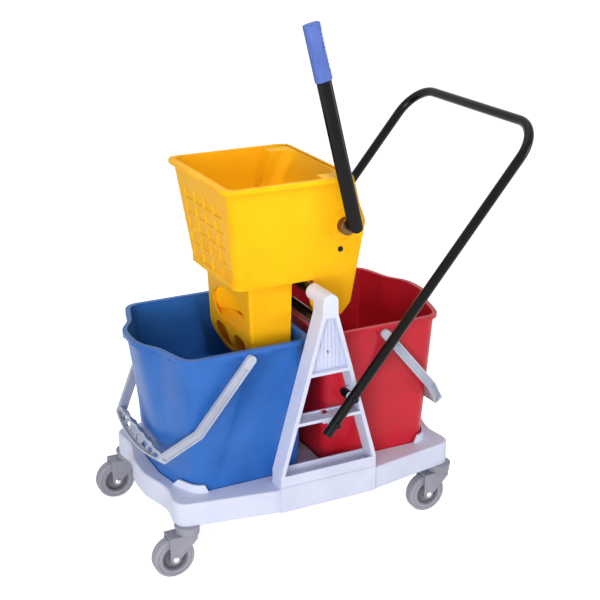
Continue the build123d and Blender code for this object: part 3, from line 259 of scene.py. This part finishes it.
def pick_faces(wanted):
    """In edit mode, select just the faces that pass a test."""
    mesh = bpy.context.object.data
    bpy.context.tool_settings.mesh_select_mode = (False, False, True)
    shape = bmesh.from_edit_mesh(mesh)
    for face in shape.faces:
        face.select_set(bool(wanted(face)))
    bmesh.update_edit_mesh(mesh)


def steps(*moves):
    """Shape the selected ends by one inset after another, each a width and a rise in mm."""
    for width, rise in moves:
        bpy.ops.mesh.inset(thickness=width * MM, depth=rise * MM)


def settle(name, finish, body, slot, *nodes):
    """Finish the active piece: its place goes into its mesh, and it joins its body."""
    piece = bpy.context.object
    piece.name = name
    piece.data.name = name
    bpy.ops.object.transform_apply(location=True, rotation=True, scale=True)
    bpy.ops.object.shade_smooth_by_angle(angle=radians(35))
    piece.data.materials.clear()
    piece.data.materials.append(finish)
    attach(piece, body)
    if nodes:
        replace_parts(piece, *nodes)
    return piece


LUG_CAP_R = 9.4 * MM
LUG_CAP_LENGTH = 21 * MM
LUG_CAP_ROUND = 2.5 * MM
BOLT_HEAD_R = 6 * MM
frame_face_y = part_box("a_frame_rear")[1][1]
bolt_corner = Vector(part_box("handle_bolts")[1])
for side, name in ((-1, "lug_cap_front"), (1, "lug_cap_rear")):
    begin_piece()
    bpy.ops.mesh.primitive_cylinder_add(
        vertices=48,
        radius=LUG_CAP_R,
        depth=LUG_CAP_LENGTH,
        location=(
            bolt_corner.x - BOLT_HEAD_R,
            side * (frame_face_y - LUG_CAP_LENGTH / 2),
            bolt_corner.z - BOLT_HEAD_R,
        ),
        rotation=(side * pi / 2, 0, 0),
    )
    bpy.ops.object.mode_set(mode="EDIT")
    pick_faces(lambda face: face.normal.z > 0.9)
    bpy.ops.mesh.bevel(offset=LUG_CAP_ROUND, segments=4, affect="EDGES")
    pick_faces(lambda face: face.normal.z < -0.9)
    steps((1.0, 0.0), (0.4, -0.4))
    bpy.ops.object.mode_set(mode="OBJECT")
    settle(name, black_plastic, "trolley", "black_plastic")


# ------------------------------------------------------------------- casters
# Swivel forks and collars are moulded in grey nylon, dense and satin. The bolts
# that the wheels turn on have domed, bright plated heads.
CORNERS = ("front_left", "front_right", "rear_left", "rear_right")
nylon = moulded("grey_caster_nylon", "#9C9CA8", "#90909C", 0.42, 0.3, 0.6, 0.05, 0.8)
coat(nylon, "caster_collars")
for corner in CORNERS:
    coat(nylon, "caster_fork_" + corner)
bright_zinc = plated("bright_zinc_bolt_head", "#EDEBE8", "#D5D2CE", 0.22)


def corner_centre(node):
    """The middle of a caster's node."""
    box_low, box_high = (Vector(point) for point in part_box(node))
    return (box_low + box_high) / 2


def copy_to_corners(first, stem, body_stem):
    """Copy the front left caster's piece to the other three corners."""
    start = corner_centre("caster_axle_front_left")
    for corner in CORNERS[1:]:
        mesh = first.data.copy()
        mesh.transform(Matrix.Translation(corner_centre("caster_axle_" + corner) - start))
        piece = bpy.data.objects.new(stem + corner, mesh)
        mesh.name = stem + corner
        bpy.context.collection.objects.link(piece)
        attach(piece, body_stem + corner)
        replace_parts(piece, *[node[:-len("front_left")] + corner for node in first["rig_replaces"]])


def reach_out(face):
    """How far out a bolt head's face lies, negative where it faces the fork."""
    return face.normal.y * (face.calc_center_median().y - axle_middle.y)


BOLT_DOME_R = 5.4 * MM
BOLT_DOME = ((0.5, 0.9), (0.9, 0.8), (1.2, 0.6), (1.3, 0.3))
BOLT_SHANK_R = 3.0 * MM
BOLT_COLLAR = 1.0 * MM
BOLT_HEAD = 4.0 * MM
axle_low, axle_high = (Vector(point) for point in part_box("caster_axle_front_left"))
axle_middle = (axle_low + axle_high) / 2
fork_half = (axle_high.y - axle_low.y) / 2 - BOLT_HEAD
heads = []
begin_piece()
for side in (-1, 1):
    bpy.ops.mesh.primitive_cylinder_add(
        vertices=40,
        radius=BOLT_DOME_R,
        depth=BOLT_COLLAR,
        location=axle_middle + Vector((0, side * (fork_half + BOLT_COLLAR / 2), 0)),
        rotation=(pi / 2, 0, 0),
    )
    heads.append(bpy.context.object)
for head in heads:
    head.select_set(True)
bpy.context.view_layer.objects.active = heads[0]
bpy.ops.object.join()
bpy.ops.object.transform_apply(location=True, rotation=True, scale=True)
bpy.ops.object.mode_set(mode="EDIT")
pick_faces(lambda face: reach_out(face) > fork_half * 0.9)
steps(*BOLT_DOME)
pick_faces(lambda face: reach_out(face) < -fork_half * 0.9)
bpy.ops.mesh.inset(thickness=BOLT_DOME_R - BOLT_SHANK_R)
bpy.ops.mesh.bridge_edge_loops()
bpy.ops.object.mode_set(mode="OBJECT")
bolt = settle(
    "axle_bolt_front_left", bright_zinc, "caster_front_left", "zinc_steel", "caster_axle_front_left",
)
copy_to_corners(bolt, "axle_bolt_", "caster_")


# -------------------------------------------------------------- caster tyres
# Each wheel has a tread of grey thermoplastic rubber, with a rounded shoulder, a
# fine moulded groove on its sides and a flat band down to the hub. It is matt.
tyre_tpr = moulded("matt_grey_tyre_rubber", "#A4A4B0", "#9696A2", 0.6, 0.25, 0.5, 0.12, 0.5)


def pick_edges(wanted):
    """In edit mode, select just the edges that pass a test."""
    mesh = bpy.context.object.data
    bpy.context.tool_settings.mesh_select_mode = (False, True, False)
    shape = bmesh.from_edit_mesh(mesh)
    for edge in shape.edges:
        edge.select_set(bool(wanted(edge)))
    bmesh.update_edit_mesh(mesh)


TYRE_SHOULDER = 5.0 * MM
TYRE_SIDE = ((1.0, 0.0), (0.5, -0.9), (0.6, 0.0), (0.5, 1.3), (1.2, 0.2), (3.9, -0.4))
TYRE_SIDE_WIDTH = 7.7 * MM
HUB_R = 24.0 * MM
tyre_low, tyre_high = (Vector(point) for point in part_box("caster_tyre_front_left"))
tyre_r = (tyre_high.z - tyre_low.z) / 2
tyre_width = tyre_high.y - tyre_low.y
wheel_middle = (tyre_low + tyre_high) / 2
begin_piece()
bpy.ops.mesh.primitive_cylinder_add(
    vertices=96,
    radius=tyre_r,
    depth=tyre_width,
    location=wheel_middle,
    rotation=(pi / 2, 0, 0),
)
bpy.ops.object.mode_set(mode="EDIT")
pick_edges(lambda edge: edge.calc_face_angle(0) > 1.0)
bpy.ops.mesh.bevel(offset=TYRE_SHOULDER, segments=6, affect="EDGES")
pick_faces(lambda face: abs(face.normal.z) > 0.999)
steps(*TYRE_SIDE)
bpy.ops.mesh.inset(thickness=tyre_r - TYRE_SHOULDER - TYRE_SIDE_WIDTH - HUB_R)
bpy.ops.mesh.bridge_edge_loops()
bpy.ops.object.mode_set(mode="OBJECT")
tyre = settle("tyre_front_left", tyre_tpr, "wheel_front_left", "tyre_grey", "caster_tyre_front_left")
copy_to_corners(tyre, "tyre_", "wheel_")


# --------------------------------------------------------------- caster hubs
# The wheel's core is a grey nylon dish. A raised rim holds the tread, and a boss
# in the middle of the dish reaches out to the fork on both sides.
hub_nylon = moulded("grey_hub_nylon", "#7E7E8A", "#72727E", 0.45, 0.3, 0.6, 0.05, 0.5)
HUB_INSET = 1.0 * MM
HUB_CLEARANCE = 0.02 * MM
HUB_DISH = (
    (0.5, 0.6), (1.8, 0.0), (0.5, -0.6), (0.8, -7.0),
    (10.2, -0.8), (1.4, 9.5), (0.6, 0.6), (5.1, 0.0),
)
begin_piece()
bpy.ops.mesh.primitive_cylinder_add(
    vertices=96,
    radius=HUB_R - HUB_CLEARANCE,
    depth=tyre_width - 2 * HUB_INSET,
    location=wheel_middle,
    rotation=(pi / 2, 0, 0),
)
bpy.ops.object.mode_set(mode="EDIT")
pick_faces(lambda face: abs(face.normal.z) > 0.99)
steps(*HUB_DISH)
bpy.ops.mesh.bridge_edge_loops()
bpy.ops.object.mode_set(mode="OBJECT")
hub = settle("hub_front_left", hub_nylon, "wheel_front_left", "caster_grey", "caster_hub_front_left")
copy_to_corners(hub, "hub_", "wheel_")


# ------------------------------------------------------------------- buckets
# Two tapered polypropylene buckets with a pouring nose, one blue and one red.
# The rim is folded over into a thin rolled lip, and the skin is glossy. Its
# edges get no soft shading, which would leave dark specks under the tight lip.
RIM_LIP = 11.0 * MM
LIP_TRIM = 4.5 * MM
CRISP_MM = 0.01
blue_pp = moulded("glossy_blue_polypropylene", "#2F6CBE", "#2A63B2", 0.34, 0.3, edge_mm=CRISP_MM)
red_pp = moulded("glossy_red_polypropylene", "#C91E30", "#BC1A2B", 0.34, 0.3, edge_mm=CRISP_MM)


def pick_points(wanted):
    """In edit mode, select just the vertices that pass a test."""
    mesh = bpy.context.object.data
    bpy.context.tool_settings.mesh_select_mode = (True, False, False)
    shape = bmesh.from_edit_mesh(mesh)
    for point in shape.verts:
        point.select_set(bool(wanted(point)))
    shape.select_flush_mode()
    bmesh.update_edit_mesh(mesh)


def rolled_rim(node, name, finish, slot):
    """A bucket copied from its node, with the lip drawn up to the rolled edge."""
    begin_piece()
    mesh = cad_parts[node].data.copy()
    piece = bpy.data.objects.new(name, mesh)
    bpy.context.collection.objects.link(piece)
    piece.select_set(True)
    bpy.context.view_layer.objects.active = piece
    bpy.ops.object.mode_set(mode="EDIT")
    bpy.ops.mesh.select_all(action="SELECT")
    bpy.ops.mesh.remove_doubles(threshold=0.001 * MM)
    bpy.ops.mesh.dissolve_limited(angle_limit=radians(0.5))
    lip_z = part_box(node)[1][2] - RIM_LIP
    pick_points(lambda point: abs(point.co.z - lip_z) < 0.05 * MM)
    bpy.ops.transform.translate(value=(0, 0, LIP_TRIM))
    bpy.ops.object.mode_set(mode="OBJECT")
    settle(name, finish, node, slot, node)


rolled_rim("blue_bucket", "blue_bucket_shell", blue_pp, "blue_plastic")
rolled_rim("red_bucket", "red_bucket_shell", red_pp, "red_plastic")


# --------------------------------------------------------------------- bails
# Each bucket hangs from a bail in mid-grey polypropylene, with a webbed hand
# grip. Its satin skin is a little darker than the frame's.
bail_pp = moulded("satin_grey_bail_polypropylene", "#BEC3D2", "#B0B5C6", 0.4, 0.3)
coat(bail_pp, "blue_bail", "red_bail")


# ------------------------------------------------------- wringer and press plate
# The hopper, its basket and the press plate are moulded in yellow polypropylene.
# The skin has a low, even gloss, which keeps the colour strong on faces that
# turn to the light, and the corners catch soft highlights.
yellow_pp = moulded("glossy_yellow_polypropylene", "#FFBE16", "#FDB612", 0.42, 0.15, ior=1.35)
coat(yellow_pp, "wringer_housing", "press_plate")


# ------------------------------------------------------------ press mechanism
# The lever turns a steel shaft in black bushes. Two zinc-plated gear sectors on
# it drive the racks behind the press plate. The shaft is painted a dark rusty
# brown, which is partly its rust and partly painted shade, as its end sits in shadow.
coat(zinc, "press_racks", "gear_sectors")
# Painted shade: the shaft's dark brown stands partly for rust and partly for the shadow on its end.
rust_and_painted_shade_brown = plated("rust_and_painted_shade_brown_shaft_steel", "#8A6A48", "#5A4028", 0.35)
coat(rust_and_painted_shade_brown, "lever_shaft")
coat(black_plastic, "shaft_bushes", "cheek_screws")


# --------------------------------------------------------------- press lever
# A flat-oval steel tube in the handle's gloss black coat.
coat(black_coat, "lever_tube")


# ---------------------------------------------------------------- lever grip
# A soft blue thermoplastic sleeve is pushed over the top of the lever. It has a
# flat capped end, a plain band at the foot and finger ridges down its back.
grip_tpe = moulded("soft_blue_grip_elastomer", "#5870B8", "#4E64AC", 0.6, 0.25, 0.8, 0.2, 0.6)
LEVER_LEAN = radians(13.96)
GRIP_LENGTH = 97.0 * MM
GRIP_WIDTH = 31.0 * MM
GRIP_DEPTH = 20.0 * MM
GRIP_BAND = 15.0 * MM
GRIP_CAP = 17.0 * MM
GRIP_RIDGES = 9
GRIP_RIDGE_RISE = 1.5 * MM
GRIP_FLANK = 1.0 * MM
ridge_pitch = (GRIP_LENGTH - GRIP_BAND - GRIP_CAP) / GRIP_RIDGES
begin_piece()
bpy.ops.mesh.primitive_cylinder_add(
    vertices=62,
    radius=GRIP_DEPTH / 2,
    depth=GRIP_BAND,
    location=(0, 0, (GRIP_BAND - GRIP_LENGTH) / 2),
)
bpy.ops.object.transform_apply(location=True)
grip_mesh = bpy.context.object.data
for vertex in grip_mesh.vertices:
    vertex.co.x += (GRIP_WIDTH - GRIP_DEPTH) / 2 * (1 if vertex.co.x > 0 else -1)
bpy.ops.object.mode_set(mode="EDIT")
pick_faces(lambda face: face.normal.z < -0.9)
bpy.ops.mesh.bevel(offset=1.2 * MM, segments=3, affect="EDGES")


def grow(height, back):
    """Extrude the grip's top upwards, and draw its back edge in or out."""
    bpy.ops.mesh.extrude_region_move(TRANSFORM_OT_translate={"value": (0, 0, height)})
    bpy.ops.transform.resize(
        value=(1 + back / GRIP_WIDTH, 1 + back / GRIP_WIDTH / 2, 1),
        center_override=(-GRIP_WIDTH / 2, 0, 0),
    )


pick_faces(lambda face: face.normal.z > 0.9)
grow(GRIP_FLANK, -GRIP_RIDGE_RISE)
for ridge in range(GRIP_RIDGES):
    grow(GRIP_FLANK, GRIP_RIDGE_RISE)
    grow(ridge_pitch - GRIP_FLANK, -GRIP_RIDGE_RISE)
grow(GRIP_FLANK, GRIP_RIDGE_RISE)
grow(GRIP_CAP - 2.0 * MM - 2.5 * MM, 0)
bpy.ops.mesh.extrude_region_move(TRANSFORM_OT_translate={"value": (0, 0, 1.2 * MM)})
steps((0.6, 0.8), (1.2, 0.4), (2.5, 0.1))
bpy.ops.object.mode_set(mode="OBJECT")
grip = bpy.context.object
grip_low, grip_high = (Vector(point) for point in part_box("lever_grip"))
grip_lean = Matrix.Rotation(-LEVER_LEAN, 4, "Y")
grip.matrix_world = Matrix.Translation((grip_low + grip_high) / 2) @ grip_lean
settle("soft_grip", grip_tpe, "lever", "blue_grip", "lever_grip")


# ------------------------------------------------------------ floor and light
# A pale floor that keeps the trolley's shadow, in a white room, with two large
# soft boxes in front and a weak one above. A small, narrow lamp lights the
# hopper's mouth.
bpy.ops.object.select_all(action="DESELECT")
bpy.ops.mesh.primitive_plane_add(size=60, location=(middle.x, middle.y, low.z - 0.5 * MM))
floor = bpy.context.object
floor.name = "studio_floor"


def seen_white(tree_owner):
    """One for the rays that see the white surroundings: camera, glossy and transmission."""
    rays = add_node(tree_owner, "ShaderNodeLightPath")
    first = add_node(tree_owner, "ShaderNodeMath", {"operation": "MAXIMUM"}, {
        0: rays.outputs["Is Camera Ray"],
        1: rays.outputs["Is Transmission Ray"],
    })
    both = add_node(tree_owner, "ShaderNodeMath", {"operation": "MAXIMUM"}, {
        0: first.outputs["Value"],
        1: rays.outputs["Is Glossy Ray"],
    })
    return both.outputs["Value"]


floor_finish = new_material("white_studio_floor")
matt = add_node(floor_finish, "ShaderNodeBsdfDiffuse", None, {"Color": colour("#E4E4E4")})
glow = add_node(floor_finish, "ShaderNodeEmission", None, {"Color": colour("#FFFFFF"), "Strength": 0.75})
bright = add_node(floor_finish, "ShaderNodeAddShader", None, {
    0: matt.outputs["BSDF"],
    1: glow.outputs["Emission"],
})
cover = add_node(floor_finish, "ShaderNodeMixShader", None, {
    0: seen_white(floor_finish),
    1: matt.outputs["BSDF"],
    2: bright.outputs["Shader"],
})
add_node(floor_finish, "ShaderNodeOutputMaterial", None, {"Surface": cover.outputs["Shader"]})
floor.data.materials.append(floor_finish)

world = bpy.data.worlds.new("white_studio")
world.use_nodes = True
world.node_tree.nodes.clear()
bpy.context.scene.world = world
room = add_node(world, "ShaderNodeBackground", None, {"Color": colour("#FFFFFF"), "Strength": 0.44})
backdrop = add_node(world, "ShaderNodeBackground", None, {"Color": colour("#FFFFFF"), "Strength": 1.0})
mix = add_node(world, "ShaderNodeMixShader", None, {
    0: seen_white(world),
    1: room.outputs["Background"],
    2: backdrop.outputs["Background"],
})
add_node(world, "ShaderNodeOutputWorld", None, {"Surface": mix.outputs["Shader"]})


def soft_box(name, place, size, power, aim_at=Vector(), spread=180):
    """An area lamp that faces the trolley's middle, or a point given from it."""
    data = bpy.data.lights.new(name, "AREA")
    data.shape = "RECTANGLE"
    data.size = size[0]
    data.size_y = size[1]
    data.energy = power
    data.spread = radians(spread)
    lamp = bpy.data.objects.new(name, data)
    lamp.location = middle + Vector(place)
    lamp.rotation_euler = (Vector(place) - aim_at).to_track_quat("Z", "Y").to_euler()
    bpy.context.collection.objects.link(lamp)


soft_box("key_box", (-1.9, -2.3, 0.2), (1.3, 1.0), 50)
soft_box("fill_box", (2.3, -1.9, 0.35), (1.2, 1.2), 22)
soft_box("top_box", (0.0, 0.2, 2.4), (2.0, 2.0), 9)
MOUTH_DEPTH = 80 * MM
hopper_low, hopper_high = (Vector(point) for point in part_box("wringer_housing"))
hopper_middle_x = (hopper_low.x + hopper_high.x) / 2
hopper_mouth = Vector((hopper_middle_x, 0, hopper_high.z - MOUTH_DEPTH)) - middle
soft_box("hopper_box", (-0.5, -1.2, 1.8), (0.3, 0.3), 0.28, hopper_mouth, 16)
